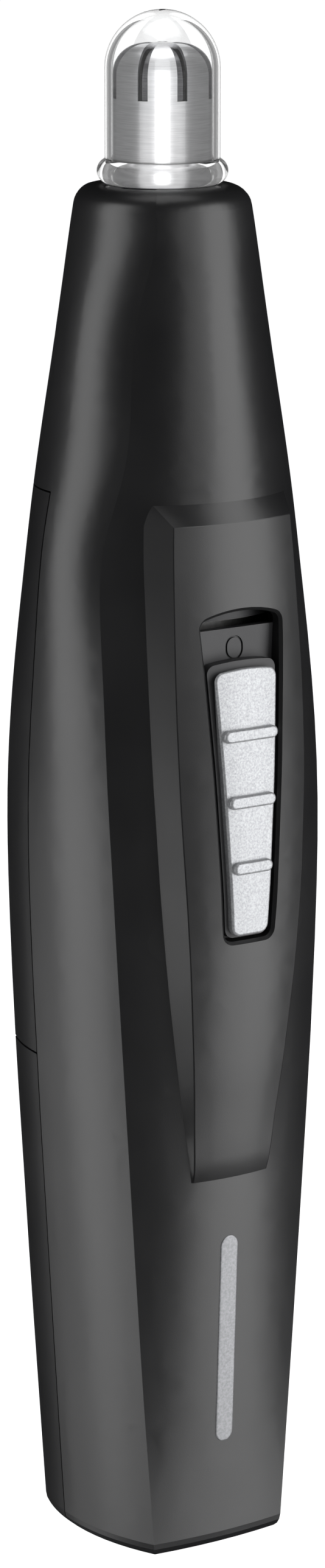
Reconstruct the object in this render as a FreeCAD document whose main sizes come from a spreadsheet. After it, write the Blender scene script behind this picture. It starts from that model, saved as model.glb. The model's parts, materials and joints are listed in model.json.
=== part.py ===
import FreeCAD, Part
import math
import os
import Sketcher

V = FreeCAD.Vector
doc = FreeCAD.newDocument("nose_hair_trimmer")

# ---------------------------------------------------------------- dimensions
# Millimetres.  +Z runs from the flat base to the cap, the switch faces -Y.
DIM = {
    # skin
    "wall": 1.5, "seam_gap": 0.16, "nose_z": 129.0, "nose_half": 8.3,
    "shoulder_fillet": 2.2, "shoulder_z": 130.884,
    "cavity_top": 124.4, "cavity_base": 1.5, "web_top": 126.2,
    "door_top": 48.4, "rear_top": 103.0,
    # switch window and sliding switch
    "window_top": 92.4, "window_shoulder": 91.55, "window_base": 61.2,
    "window_half_top": 4.55, "window_half_base": 2.68, "window_corner": 0.9,
    "window_bevel": 0.3, "switch_tilt": 1.5, "switch_z": 76.8,
    "floor_depth": 11.864, "floor_thick": 1.0, "floor_top": 90.6,
    "floor_base": 60.3, "floor_rim": 0.9,
    "button_top": 87.1, "button_base": 61.75, "button_half_top": 3.55,
    "button_half_base": 2.02, "button_proud": 0.15, "button_foot": 13.25,
    "carrier_top": 87.75, "carrier_base": 61.5, "carrier_rim": 0.36,
    "carrier_drop": 0.55, "carrier_foot": 12.05, "switch_travel": 4.3,
    "rib_proud": 0.45, "rib_wide": 1.2, "rib_top": 80.9, "rib_pitch": 6.3,
    "mark_wide": 2.0, "mark_high": 2.3, "mark_line": 0.2, "mark_deep": 0.2,
    # cutter head
    "cutter_od": 9.25, "cutter_wall": 0.35, "cutter_base": 132.9,
    "cutter_top": 143.9, "cutter_round": 2.8, "slot_wide": 0.95,
    "slot_base": 138.9, "slot_start": 1.15, "slot_count": 8,
    "collar_od": 9.2, "collar_base": 130.95, "collar_top": 132.6,
    "collar_bore": 8.56, "headbase_od": 9.8, "headbase_z": 126.6,
    "headbase_step": 130.85, "headneck_od": 8.5, "headneck_top": 135.0,
    "headneck_bore": 7.5, "headbase_bore": 5.6, "lug_reach": 5.5,
    "lug_wide": 3.0, "lug_z": 127.1, "lug_high": 1.2,
    "socket_bore": 10.2, "socket_groove": 11.6, "groove_z": 126.9,
    "groove_high": 1.6,
    # cap
    "cap_od": 10.79, "cap_id": 9.6, "cap_base": 130.95, "cap_top": 147.0,
    "cap_bead_top": 133.2,
    # drive line
    "shaft_d": 2.0, "motor_shaft_base": 66.7, "motor_shaft_top": 99.0,
    "drive_base": 99.2, "drive_top": 135.5, "drive_flange_z": 111.5,
    "drive_flange_d": 4.8, "drive_flange_high": 1.0,
    "coupling_od": 5.2, "coupling_base": 95.0, "coupling_top": 103.0,
    "coupling_bore": 2.04, "bush_od": 5.2, "bush_bore": 2.16,
    "bush_base": 119.5, "bush_top": 130.4, "bush_flange_od": 7.0,
    "bush_flange_high": 1.0, "sleeve_od": 7.4, "sleeve_base": 120.7,
    "gasket_id": 6.0, "gasket_od": 8.8, "gasket_z": 126.22,
    "gasket_high": 0.3, "hub_od": 7.1, "hub_base": 131.6, "hub_top": 136.4,
    "blade_core_d": 2.4, "blade_reach": 4.1, "blade_thick": 0.55,
    "blade_top": 143.4, "blade_wings": 8, "blade_base": 136.4,
    "spring_d": 3.9, "spring_wire": 0.42, "spring_base": 103.25,
    "spring_top": 111.25, "spring_turns": 6,
    # motor
    "motor_width": 20.1, "motor_depth": 15.1, "can_wall": 0.8,
    "can_base": 68.2, "can_top": 91.0, "can_boss_d": 6.1,
    "can_boss_top": 92.6, "endcap_base": 66.0, "endcap_lip": 1.6,
    "armature_d": 12.2, "armature_base": 72.5, "armature_top": 86.5,
    "commutator_d": 4.6, "commutator_base": 68.9, "magnet_id": 13.4,
    "magnet_base": 71.0, "magnet_top": 88.0, "terminal_high": 1.9,
    # chassis and battery
    "fit_gap": 0.15, "bulk_thick": 1.5, "bulk_low": 57.0, "bulk_mid": 64.3,
    "bulk_high": 91.15, "spine_half": 5.0, "spine_in": 8.4, "spine_out": 9.5,
    "web_half": 9.4, "web_front": 2.6, "web_back": 0.8,
    "screw_x": 7.0, "screw_z": 61.4, "screw_d": 2.0, "screw_head_d": 3.8,
    "screw_head_high": 1.5, "screw_long": 5.6, "boss_d": 4.0,
    "battery_d": 14.3, "battery_base": 6.0, "battery_shoulder": 55.2,
    "battery_top": 56.4, "battery_nub_d": 5.4,
    "coil_base_r": 3.0, "coil_top_r": 2.0, "coil_wire": 0.6,
    "plate_thick": 0.4, "grip_z": 36.0, "grip_pitch": 2.0, "grip_half": 4.2,
    "grip_proud": 0.32, "grip_wide": 0.9,
}

# Skin sections: height, corner half width, corner half depth, mid depth,
# mid half width.  Four arcs join the corners; the corners are creases low
# down and run out tangentially at the nose.
SKIN = [
    (0.0, 7.46, 9.25, 9.78, 9.36), (10.0, 8.24, 9.21, 10.18, 10.17),
    (20.0, 9.00, 9.18, 10.61, 10.95), (31.0, 9.76, 9.18, 11.08, 11.80),
    (40.0, 10.37, 9.18, 11.45, 12.50), (50.0, 11.02, 9.14, 11.80, 13.20),
    (60.0, 11.59, 8.99, 12.10, 13.75), (70.0, 12.02, 8.69, 12.30, 14.15),
    (80.0, 12.11, 7.98, 12.35, 14.20), (88.0, 11.90, 7.10, 12.20, 14.00),
    (95.0, 11.54, 6.27, 11.90, 13.70), (103.0, 9.952, 6.815, 11.35, 12.50),
    (112.0, 8.330, 6.778, 10.40, 11.00), (121.0, 6.933, 6.428, 9.35, 9.55),
    (129.0, 5.869, 5.869, 8.30, 8.30),
]

# Raised front panel: height, foot half width, foot depth, edge half width,
# edge depth, crown depth.
PANEL = [
    (37.4, 4.66, 10.70, 4.24, 11.14, 11.52),
    (42.0, 5.15, 10.85, 4.64, 11.80, 12.29),
    (46.0, 5.80, 10.82, 4.99, 12.27, 12.84),
    (50.0, 6.42, 10.60, 5.36, 12.67, 13.32),
    (54.0, 6.95, 10.50, 5.71, 12.96, 13.70),
    (58.0, 7.40, 10.44, 6.05, 13.22, 14.05),
    (62.0, 7.77, 10.40, 6.35, 13.33, 14.25),
    (66.0, 8.12, 10.30, 6.66, 13.35, 14.36),
    (70.0, 8.38, 10.22, 6.89, 13.22, 14.30),
    (74.0, 8.60, 10.08, 7.10, 13.07, 14.22),
    (78.0, 8.78, 9.90, 7.23, 12.90, 14.09),
    (82.0, 8.87, 9.68, 7.27, 12.64, 13.84),
    (86.0, 8.92, 9.40, 7.25, 12.38, 13.59),
    (90.0, 8.90, 9.10, 7.14, 12.06, 13.23),
    (94.0, 8.86, 8.75, 7.00, 11.74, 12.86),
    (98.0, 8.76, 8.40, 6.83, 11.42, 12.50),
    (100.6, 8.62, 8.20, 6.66, 11.22, 12.27),
]
PANEL_END = (102.9, 8.30, 7.95, 7.70, 8.55, 11.20)

# Parting line seen from the side: height, distance behind the mid plane.
SEAM = [(48.4, 2.42), (60.0, 2.34), (70.0, 2.12), (80.0, 1.60),
        (88.0, 0.98), (95.0, 0.55), (103.0, 0.38)]
SEAM_FOOT = 3.61

sheet = doc.addObject("Spreadsheet::Sheet", "Dimensions")
row = 1


def put(alias, value):
    global row
    sheet.set("A%d" % row, alias)
    sheet.set("B%d" % row, repr(float(value)))
    sheet.setAlias("B%d" % row, alias)
    row += 1


for name, value in DIM.items():
    put(name, value)
for i, r in enumerate(SKIN):
    for key, value in zip(("height", "cornerx", "cornery", "middepth", "midwidth"), r):
        put("skin_%s_%s" % (chr(97 + i), key), value)
for i, r in enumerate(PANEL + [PANEL_END]):
    for key, value in zip(("height", "footx", "footy", "edgex", "edgey", "crown"), r):
        put("panel_%s_%s" % (chr(97 + i), key), value)
for i, r in enumerate(SEAM):
    for key, value in zip(("height", "back"), r):
        put("seam_%s_%s" % (chr(97 + i), key), value)
put("seam_foot", SEAM_FOOT)
doc.recompute()


def read(alias):
    return float(getattr(sheet, alias))


def rows(prefix, count, keys):
    return [tuple(read("%s_%s_%s" % (prefix, chr(97 + i), k)) for k in keys)
            for i in range(count)]


SKIN = rows("skin", len(SKIN), ("height", "cornerx", "cornery", "middepth", "midwidth"))
PANEL = rows("panel", len(PANEL) + 1, ("height", "footx", "footy", "edgex", "edgey", "crown"))
SEAM = rows("seam", len(SEAM), ("height", "back"))


class Q:
    """A size that keeps its sheet expression with its number."""

    def __init__(self, number, text):
        self.n = float(number)
        self.t = text

    def _mix(self, other, sign, flip=False):
        if not isinstance(other, Q):
            other = Q(other, repr(float(other)))
        a, b = (other, self) if flip else (self, other)
        n = {"+": a.n + b.n, "-": a.n - b.n, "*": a.n * b.n,
             "/": a.n / b.n if b.n else 0.0}[sign]
        return Q(n, "(%s %s %s)" % (a.t, sign, b.t))

    def __add__(self, o): return self._mix(o, "+")
    def __radd__(self, o): return self._mix(o, "+", True)
    def __sub__(self, o): return self._mix(o, "-")
    def __rsub__(self, o): return self._mix(o, "-", True)
    def __mul__(self, o): return self._mix(o, "*")
    def __rmul__(self, o): return self._mix(o, "*", True)
    def __truediv__(self, o): return self._mix(o, "/")


def d(alias):
    return Q(read(alias), "Dimensions." + alias)


def num(q):
    return q.n if isinstance(q, Q) else float(q)


def bind(obj, prop, q):
    setattr(obj, prop, num(q))
    if isinstance(q, Q):
        obj.setExpression(prop, q.t)


NODES = []


def node(obj, label, placement=None):
    obj.Label = label
    if placement is not None:
        obj.Placement = placement
    NODES.append(obj)
    return obj


# ---------------------------------------------------------------- sketches
def plane(body, role):
    for f in body.Origin.OriginFeatures:
        if f.Role == role:
            return f


def sketch(body, name, role, offset=None):
    s = body.newObject("Sketcher::SketchObject", name)
    s.AttachmentSupport = [(plane(body, role), "")]
    s.MapMode = "FlatFace"
    if offset is not None:
        s.AttachmentOffset = FreeCAD.Placement(V(0, 0, num(offset)), FreeCAD.Rotation())
        if isinstance(offset, Q):
            s.setExpression("AttachmentOffset.Base.z", offset.t)
    return s


def pin(s, geo, pos, x, y):
    for kind, q, axis in (("DistanceX", x, -2), ("DistanceY", y, -1)):
        if abs(num(q)) < 1e-9:
            s.addConstraint(Sketcher.Constraint("PointOnObject", geo, pos, axis))
            continue
        k = s.addConstraint(Sketcher.Constraint(kind, -1, 1, geo, pos, num(q)))
        if isinstance(q, Q):
            s.setExpression("Constraints[%d]" % k, q.t)


def outline(s, pts):
    """Closed outline.  A point is (x, y) or (x, y, radius, side): the edge
    that arrives at it is then an arc of that radius, and side picks which
    way it bulges."""
    n = len(pts)
    for i in range(n):
        p, q = pts[i], pts[(i + 1) % n]
        a, b = V(num(p[0]), num(p[1]), 0), V(num(q[0]), num(q[1]), 0)
        if len(q) == 4:
            r, side = num(q[2]), q[3]
            mid = (a + b) * 0.5
            ch = b - a
            half = ch.Length / 2.0
            nrm = V(-ch.y, ch.x, 0) * (1.0 / ch.Length) * side
            sag = r - math.sqrt(max(r * r - half * half, 0.0))
            bulge = mid + nrm * sag
            arc = Part.Arc(a, bulge, b) if side < 0 else Part.Arc(b, bulge, a)
            s.addGeometry(arc, False)
        else:
            s.addGeometry(Part.LineSegment(a, b), False)
    ends = []
    for i in range(n):
        g = s.Geometry[i]
        p = pts[i]
        a = V(num(p[0]), num(p[1]), 0)
        if isinstance(g, Part.LineSegment):
            ends.append((1, 2))
        else:
            ends.append((1, 2) if (g.StartPoint - a).Length < 1e-6 else (2, 1))
    for i in range(n):
        j = (i + 1) % n
        s.addConstraint(Sketcher.Constraint("Coincident", i, ends[i][1], j, ends[j][0]))
    for i in range(n):
        pin(s, i, ends[i][0], pts[i][0], pts[i][1])
    for i in range(n):
        q = pts[(i + 1) % n]
        if len(q) == 4:
            k = s.addConstraint(Sketcher.Constraint("Radius", i, num(q[2])))
            if isinstance(q[2], Q):
                s.setExpression("Constraints[%d]" % k, q[2].t)


def turned(label, pts):
    """A turned piece: the profile (radius, height) spun about Z."""
    body = doc.addObject("PartDesign::Body", label + "_body")
    s = sketch(body, label + "_profile", "XZ_Plane")
    outline(s, pts)
    rev = body.newObject("PartDesign::Revolution", label + "_turn")
    rev.Profile = s
    rev.ReferenceAxis = (s, ["V_Axis"])
    rev.Angle = 360.0
    body.Tip = rev
    doc.recompute()
    return node(body, label)


def feature(label, shape, placement=None, keep=True):
    f = doc.addObject("Part::Feature", label + ("_piece" if keep else "_tool"))
    f.Shape = shape
    if placement is not None:
        f.Placement = placement
    if keep:
        node(f, label)
    return f


def box(label, x0, x1, y0, y1, z0, z1):
    b = doc.addObject("Part::Box", label)
    bind(b, "Length", x1 - x0)
    bind(b, "Width", y1 - y0)
    bind(b, "Height", z1 - z0)
    b.Placement = FreeCAD.Placement(V(num(x0), num(y0), num(z0)), FreeCAD.Rotation())
    for axis, q in (("x", x0), ("y", y0), ("z", z0)):
        if isinstance(q, Q):
            b.setExpression("Placement.Base." + axis, q.t)
    return b


def rod(label, radius, base, height, x=0.0, y=0.0):
    c = doc.addObject("Part::Cylinder", label)
    bind(c, "Radius", radius)
    bind(c, "Height", height)
    c.Placement = FreeCAD.Placement(V(num(x), num(y), num(base)), FreeCAD.Rotation())
    for axis, q in (("x", x), ("y", y), ("z", base)):
        if isinstance(q, Q):
            c.setExpression("Placement.Base." + axis, q.t)
    return c


def cut(label, base, tools):
    c = doc.addObject("Part::Cut", label)
    c.Base = base
    if isinstance(tools, list):
        tools = tools[0] if len(tools) == 1 else fuse(label + "_tools", tools)
    c.Tool = tools
    return c


def fuse(label, parts):
    f = doc.addObject("Part::MultiFuse", label)
    f.Shapes = parts
    return f


def common(label, parts):
    f = doc.addObject("Part::MultiCommon", label)
    f.Shapes = parts
    return f


# ---------------------------------------------------------------- skin
def arc_front(a, b, D):
    s = D - b
    r = (a * a + s * s) / (2 * s)
    return D - r, r


def inset(sec, t):
    """The same section with every arc moved inward by t."""
    z, a, b, D, W = sec
    if abs(t) < 1e-9:
        return sec
    cy, r1 = arc_front(a, b, D)
    cx, r2 = arc_front(b, a, W)
    r1, r2 = r1 - t, r2 - t
    # circle 1 centred (0, cy), circle 2 centred (cx, 0)
    dist = math.hypot(cx, cy)
    if dist < 1e-6:
        k = r1 / math.hypot(a, b)
        return z, a * k, b * k, D - t, W - t
    ex, ey = cx / dist, -cy / dist
    m = (r1 * r1 - r2 * r2 + dist * dist) / (2 * dist)
    h2 = r1 * r1 - m * m
    if h2 <= 0:
        k = 1 - t / math.hypot(a, b)
        return z, a * k, b * k, D - t, W - t
    h = math.sqrt(h2)
    best = None
    for sgn in (1, -1):
        x = ex * m - sgn * ey * h
        y = cy + ey * m + sgn * ex * h
        e = math.hypot(x - a, y - b)
        if best is None or e < best[0]:
            best = (e, x, y)
    return z, best[1], best[2], D - t, W - t


def skin_at(z):
    for p, q in zip(SKIN, SKIN[1:]):
        if p[0] <= z <= q[0]:
            k = (z - p[0]) / (q[0] - p[0])
            return tuple([z] + [p[i] + (q[i] - p[i]) * k for i in range(1, 5)])
    raise ValueError(z)


def ring(sec, z=None):
    zz, a, b, D, W = sec
    if z is not None:
        zz = z
    fl, fr = V(-a, -b, zz), V(a, -b, zz)
    br, bl = V(a, b, zz), V(-a, b, zz)
    e = [Part.Arc(fl, V(0, -D, zz), fr).toShape(), Part.Arc(fr, V(W, 0, zz), br).toShape(),
         Part.Arc(br, V(0, D, zz), bl).toShape(), Part.Arc(bl, V(-W, 0, zz), fl).toShape()]
    return Part.Wire(e)


def solid_of(shape):
    return shape.Solids[0] if len(shape.Solids) == 1 else shape


def skin_loft(t, z0, z1):
    secs = [skin_at(z0)] + [r for r in SKIN if z0 + 2 < r[0] < z1 - 2] + [skin_at(z1)]
    return solid_of(Part.makeLoft([ring(inset(r, t)) for r in secs], True, False))


BASE_RINGS = [(0.0, 0.80), (0.10, 0.52), (0.35, 0.24), (0.75, 0.07), (1.3, 0.0)]
# the cone runs on to the shoulder plane, where its edge is rounded
taper = 1.0 - 0.145 * (read("shoulder_z") - read("nose_z")) / read("nose_half")
SKIN.append(tuple([read("shoulder_z")] + [v * taper for v in SKIN[-1][1:]]))
outer = skin_loft(0.0, BASE_RINGS[-1][0], read("shoulder_z"))
outer = outer.makeFillet(read("shoulder_fillet"), [e for e in outer.Edges
                         if e.BoundBox.ZMin > read("shoulder_z") - 0.01])
foot = [Part.makeLoft([ring(inset(skin_at(p[0]), p[1])), ring(inset(skin_at(q[0]), q[1]))],
                      True, True) for p, q in zip(BASE_RINGS, BASE_RINGS[1:])]


skin = outer.fuse(foot)
print("skin volume", round(skin.Volume, 1), skin.isValid(), len(skin.Solids))

inner = skin_loft(read("wall"), read("cavity_base"), read("cavity_top"))


# ---------------------------------------------------------------- panel
def panel_ring(r, lift=0.0):
    z, fx, fy, ex, ey, cr = r
    a, b = V(-fx, -fy, z), V(-ex, -(ey + lift), z)
    c, e = V(ex, -(ey + lift), z), V(fx, -fy, z)
    return Part.Wire([Part.LineSegment(a, b).toShape(),
                      Part.Arc(b, V(0, -(cr + lift), z), c).toShape(),
                      Part.LineSegment(c, e).toShape(), Part.LineSegment(e, a).toShape()])


def panel_solid(lift=0.0):
    main = solid_of(Part.makeLoft([panel_ring(r, lift) for r in PANEL[:-1]], True, False))
    end = solid_of(Part.makeLoft([panel_ring(PANEL[-2], lift), panel_ring(PANEL[-1], 0.0)],
                                 True, True))
    return main, end


p_main, p_end = panel_solid()
panel = solid_of(p_main.fuse(p_end).removeSplitter())
print("panel", panel.isValid(), round(panel.Volume, 1))


def long_edges(shape, test):
    return [e for e in shape.Edges if test(e)]


def crest(e):
    bb = e.BoundBox
    p = e.valueAt((e.FirstParameter + e.LastParameter) / 2)
    if bb.ZLength < 0.1:
        return abs(bb.ZMin - PANEL[-2][0]) < 0.05 and -p.y > 11.5
    return bb.ZLength > 30 and -p.y > 12.3


def soften(shape, radius, es, what):
    try:
        done = shape.makeFillet(radius, es)
        if done.isValid() and done.Volume > 0 and len(done.Solids) == 1:
            print(what, "rounded", len(es))
            return done
        print(what, "refused")
    except Exception as err:
        print(what, "left sharp", err)
    return None


es = long_edges(panel, crest)
for radius, pick in ((0.16, es), (0.3, es), (0.3, [e for e in es if e.BoundBox.ZLength > 30])):
    softened = soften(panel, radius, pick, "panel crests")
    if softened is not None:
        panel = softened
        break

body = skin.fuse(panel)
print("body", body.isValid(), len(body.Solids), round(body.Volume, 1))


# ---------------------------------------------------------------- window
def tapered_face(z0, z1, h0, h1, arch, grow=0.0):
    """Tapered outline in the XZ plane, h0 wide below and h1 above, with an
    arched upper edge."""
    k = (h1 - h0) / (z1 - z0)
    z0, z1 = z0 - grow, z1 + grow
    h0, h1 = h0 + grow - k * grow, h1 + grow + k * grow
    a, b = V(-h0, 0, z0), V(h0, 0, z0)
    c, e = V(h1, 0, z1 - arch), V(-h1, 0, z1 - arch)
    edges = [Part.LineSegment(a, b).toShape(), Part.LineSegment(b, c).toShape()]
    if arch > 1e-6:
        edges.append(Part.Arc(c, V(0, 0, z1), e).toShape())
    else:
        edges.append(Part.LineSegment(c, e).toShape())
    edges.append(Part.LineSegment(e, a).toShape())
    return Part.Face(Part.Wire(edges))


def prism(face, y0, y1, radius):
    """Outline pushed along Y from y0 to y1, its four corners rounded."""
    f = face.copy()
    f.translate(V(0, y0, 0))
    s = f.extrude(V(0, y1 - y0, 0))
    es = [e for e in s.Edges if e.BoundBox.XLength < 1e-3 and e.BoundBox.ZLength < 1e-3]
    if radius > 0:
        s = s.makeFillet(radius, es)
    return solid_of(s)


tilt = read("switch_tilt")
z_sw = read("switch_z")
pl_sw = FreeCAD.Placement(V(0, -read("floor_depth"), z_sw),
                          FreeCAD.Rotation(V(1, 0, 0), -tilt))
win_face = tapered_face(read("window_base"), read("window_top"), read("window_half_base"),
                        read("window_half_top"), read("window_top") - read("window_shoulder"))
window = prism(win_face, -20, -8, read("window_corner"))
rebate_face = tapered_face(read("window_base"), read("window_top"), read("window_half_base"),
                           read("window_half_top"),
                           read("window_top") - read("window_shoulder"), read("floor_rim") + 0.1)
rebate = prism(rebate_face, 0, 12, 0.6)
rebate.translate(V(0, 0, -z_sw))
rebate.Placement = pl_sw.multiply(rebate.Placement)
rebate = rebate.common(Part.makeBox(40, 40, 80, V(-20, -40, 40)))

# ---------------------------------------------------------------- parting
gap = read("seam_gap")
door = read("door_top")
rear_top = read("rear_top")


def behind(shift, z0, z1, back=20.0):
    """Prism of everything behind the parting line between two heights."""
    slope = (read("seam_foot") - SEAM[0][1]) / door
    pts = []
    if z0 < door:
        pts.append(V(-20, read("seam_foot") - slope * z0 + shift, z0))
    edges = []
    top = min(z1, rear_top + 5)
    if z0 < door:
        a = pts[0]
        zt = min(z1, door)
        b = V(-20, read("seam_foot") - slope * zt + shift, zt)
        edges.append(Part.LineSegment(a, b).toShape())
        last = b
    else:
        last = None
    if z1 > door + 1e-6:
        crv = Part.BSplineCurve()
        src = [V(-20, y + shift, z) for z, y in SEAM]
        src[-1] = V(-20, SEAM[-1][1] + shift, rear_top)
        crv.interpolate(src)
        zs0 = max(z0, door)
        u0 = crv.parameter(V(-20, src[0].y, zs0)) if zs0 > door + 1e-6 else crv.FirstParameter
        seg = crv.copy()
        if zs0 > door + 1e-6:
            seg.segment(u0, crv.LastParameter)
        e = seg.toShape()
        edges.append(e)
        first_pt = e.valueAt(e.FirstParameter)
        last_pt = e.valueAt(e.LastParameter)
        if last is None:
            pts.append(first_pt)
        last = last_pt
        if z1 > rear_top + 1e-6:
            up = V(-20, last.y, z1)
            edges.append(Part.LineSegment(last, up).toShape())
            last = up
    start = pts[0]
    c1 = V(-20, back, last.z)
    c0 = V(-20, back, start.z)
    edges.append(Part.LineSegment(last, c1).toShape())
    edges.append(Part.LineSegment(c1, c0).toShape())
    edges.append(Part.LineSegment(c0, start).toShape())
    face = Part.Face(Part.Wire(Part.__sortEdges__(edges)))
    return solid_of(face.extrude(V(40, 0, 0)))


cut_rear = behind(-gap / 2, -5.0, rear_top)
reg_rear = behind(gap / 2, door + 0.2, rear_top).common(
    Part.makeBox(60, 60, rear_top - gap - 0.0, V(-30, -30, 0)))
reg_door = behind(gap / 2, -5.0, door)

# ---------------------------------------------------------------- front housing
bore = Part.makeCylinder(read("socket_bore") / 2, 10, V(0, 0, read("web_top")))
groove = Part.makeCylinder(read("socket_groove") / 2, read("groove_high"),
                           V(0, 0, read("groove_z")))
bush_hole = Part.makeCylinder(read("bush_od") / 2 + 0.02, 12, V(0, 0, read("cavity_top") - 5))
# entry slots for the head's two lugs, a 30 degree twist away from locked
entries = []
for k in (0, 180):
    b = Part.makeBox(read("socket_groove") / 2, read("lug_wide") + 0.5, 12,
                     V(0, -(read("lug_wide") + 0.5) / 2, read("groove_z") + 0.2))
    b.rotate(V(0, 0, 0), V(0, 0, 1), k + 30)
    entries.append(b.common(Part.makeCylinder(read("socket_groove") / 2, 20,
                                              V(0, 0, read("groove_z")))))
front = body.cut([inner, cut_rear])
print("front cut", front.isValid(), len(front.Solids))
front = front.cut([window, rebate, bore, groove] + entries)
sleeve = Part.makeCylinder(read("sleeve_od") / 2, read("cavity_top") - read("sleeve_base") + 0.5,
                           V(0, 0, read("sleeve_base")))
bosses = []
for sx in (-1, 1):
    x = sx * read("screw_x")
    b = Part.makeCylinder(read("boss_d") / 2, 9.0, V(x, -read("web_front") - 0.05, read("screw_z")),
                          V(0, -1, 0))
    b = b.common(skin)
    bosses.append(b)
front = front.fuse([sleeve] + bosses)
pilots = [Part.makeCylinder(read("screw_d") / 2 + 0.04, 6.4,
                            V(sx * read("screw_x"), -read("web_front") + 1, read("screw_z")),
                            V(0, -1, 0)) for sx in (-1, 1)]
front = front.cut([bush_hole] + pilots)
print("front", front.isValid(), len(front.Solids), round(front.Volume, 1))


def rim(e):
    """Edges of the window where it meets the panel's surface."""
    bb = e.BoundBox
    if bb.ZMin < read("window_base") - 0.3 or bb.ZMax > read("window_top") + 0.3:
        return False
    if bb.XMax > 4.75 or bb.XMin < -4.75:
        return False
    for u in (0.05, 0.5, 0.95):
        p = e.valueAt(e.FirstParameter + (e.LastParameter - e.FirstParameter) * u)
        if -p.y < 12.55:
            return False
    return True


try:
    es = [e for e in front.Edges if rim(e)]
    bev = front.makeChamfer(read("window_bevel"), es)
    if bev.isValid() and len(bev.Solids) == 1:
        front = bev
        print("window rim bevelled", len(es))
    else:
        print("window rim bevel refused", len(es), bev.isValid())
except Exception as err:
    print("window rim left sharp", err)
feature("front_housing", solid_of(front))

# ---------------------------------------------------------------- rear cover, battery cover
hollow = skin.cut(inner)
rear = hollow.common(reg_rear)
print("rear", rear.isValid(), len(rear.Solids), round(rear.Volume, 1))
feature("rear_cover", solid_of(rear))

cover = hollow.common(reg_door)
slope = (read("seam_foot") - SEAM[0][1]) / door


def grip_bar(z):
    """Low rounded bar across the back of the battery cover."""
    h, r = read("grip_half"), read("grip_wide") / 2
    sec = skin_at(z)
    cy, rad = arc_front(sec[1], sec[2], sec[3])
    y0 = sec[3] + read("grip_proud") - r
    path = Part.Arc(V(-h, cy + math.sqrt((y0 - cy) ** 2 - h * h) if y0 - cy > h else y0, z),
                    V(0, y0, z),
                    V(h, cy + math.sqrt((y0 - cy) ** 2 - h * h) if y0 - cy > h else y0, z)).toShape()
    a = path.valueAt(path.FirstParameter)
    t = path.tangentAt(path.FirstParameter)
    circ = Part.Wire(Part.makeCircle(r, a, t))
    tube = Part.Wire(path).makePipeShell([circ], True, True)
    ends = [Part.makeSphere(r, path.valueAt(u)) for u in (path.FirstParameter, path.LastParameter)]
    return solid_of(tube.fuse(ends))


grips = [grip_bar(read("grip_z") + i * read("grip_pitch")) for i in range(4)]
# a tongue at the top edge hooks under the rear cover
tongue = Part.makeBox(9.0, 0.9, 5.2, V(-4.5, 0, door - 3.4))
sec = skin_at(door + 1.8)
tongue.translate(V(0, sec[3] - read("wall") - 1.2 - 0.55, 0))
link = Part.makeBox(9.0, 2.4, 2.6, V(-4.5, sec[3] - read("wall") - 1.2 - 0.55, door - 3.4))
link = link.common(skin)
cover = cover.fuse(grips + [tongue.common(skin), link])
print("cover", cover.isValid(), len(cover.Solids), round(cover.Volume, 1))
feature("battery_cover", solid_of(cover))

# ---------------------------------------------------------------- switch
lift = read("button_proud")
lifted = solid_of(panel_solid(lift)[0])


def local_face(z0, z1, h0, h1, arch, grow=0.0):
    return tapered_face(z0, z1, h0, h1, arch, grow)


# floor plate under the window, with a slot for the slider's stem
plate_face = tapered_face(read("floor_base"), read("floor_top"),
                          read("window_half_base") + read("floor_rim") - 0.06,
                          read("window_half_top") + read("floor_rim") - 0.16, 0.0)
plate = prism(plate_face, 0.0, read("floor_thick"), 0.5)
plate.translate(V(0, 0, -z_sw))
slot = Part.makeBox(3.2, 4, 15.2, V(-1.6, -1, 66.2 - z_sw))
plate = plate.cut(slot)
# thin ring mark above, thin stroke mark below, both engraved
zc = 88.72 - z_sw
ml, md = read("mark_line"), read("mark_deep")


def stadium(w, h, depth, z):
    r = w / 2
    s = Part.makeBox(w, depth, max(h - w, 0.01), V(-r, -0.01, z - (h - w) / 2))
    caps = [Part.makeCylinder(r, depth, V(0, -0.01, z + k * (h - w) / 2), V(0, 1, 0)) for k in (-1, 1)]
    return s.fuse(caps)


mw, mh = read("mark_wide"), read("mark_high")
mark = stadium(mw, mh, md, zc).cut(stadium(mw - 2 * ml, mh - 2 * ml, md + 1, zc))
stroke = Part.makeBox(ml, md, 2.2, V(-ml / 2, -0.01, 62.4 - z_sw))
plate = plate.cut([mark, stroke])
feature("switch_floor_plate", solid_of(plate), pl_sw)


btn_face = tapered_face(read("button_base"), read("button_top"), read("button_half_base"),
                        read("button_half_top"), 0.35)
button = prism(btn_face, -20, -read("button_foot"), 0.9).common(lifted)
top_edges = [e for e in button.Edges if e.BoundBox.YMax < -read("button_foot") - 0.05
             and (e.BoundBox.ZLength > 0.5 or e.BoundBox.XLength > 0.5)
             and not (e.BoundBox.XLength < 1e-3 and e.BoundBox.ZLength < 1e-3)]
try:
    rb = button.makeFillet(0.22, top_edges)
    if rb.isValid():
        button = rb
        print("button edge rounded", len(top_edges))
except Exception as err:
    print("button edge left sharp", err)
ribs = []
kt = (read("button_half_top") - read("button_half_base")) / (read("button_top") - read("button_base"))
for i in range(3):
    z = read("rib_top") - i * read("rib_pitch")
    hw = (3.05, 2.63, 2.21)[i]
    r = read("rib_wide") / 2
    crown = [q for q in PANEL if q[0] >= z][0]
    prev = [q for q in PANEL if q[0] <= z][-1]
    k = (z - prev[0]) / max(crown[0] - prev[0], 1e-6)
    top = prev[5] + (crown[5] - prev[5]) * k + lift + read("rib_proud")
    b = Part.makeBox(2 * (hw - r), 3.0, 2 * r, V(-(hw - r), -top, z - r))
    caps = [Part.makeCylinder(r, 3.0, V(s * (hw - r), -top, z), V(0, 1, 0)) for s in (-1, 1)]
    rib = solid_of(b.fuse(caps).removeSplitter())
    edges = [e for e in rib.Edges if e.BoundBox.YMax < -top + 0.01]
    try:
        rf = rib.makeFillet(0.28, edges)
        if rf.isValid():
            rib = rf
    except Exception as err:
        print("rib left sharp", err)
    ribs.append(rib.common(Part.makeBox(20, 20, 60, V(-10, -20 - read("button_foot"), 50))))
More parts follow.
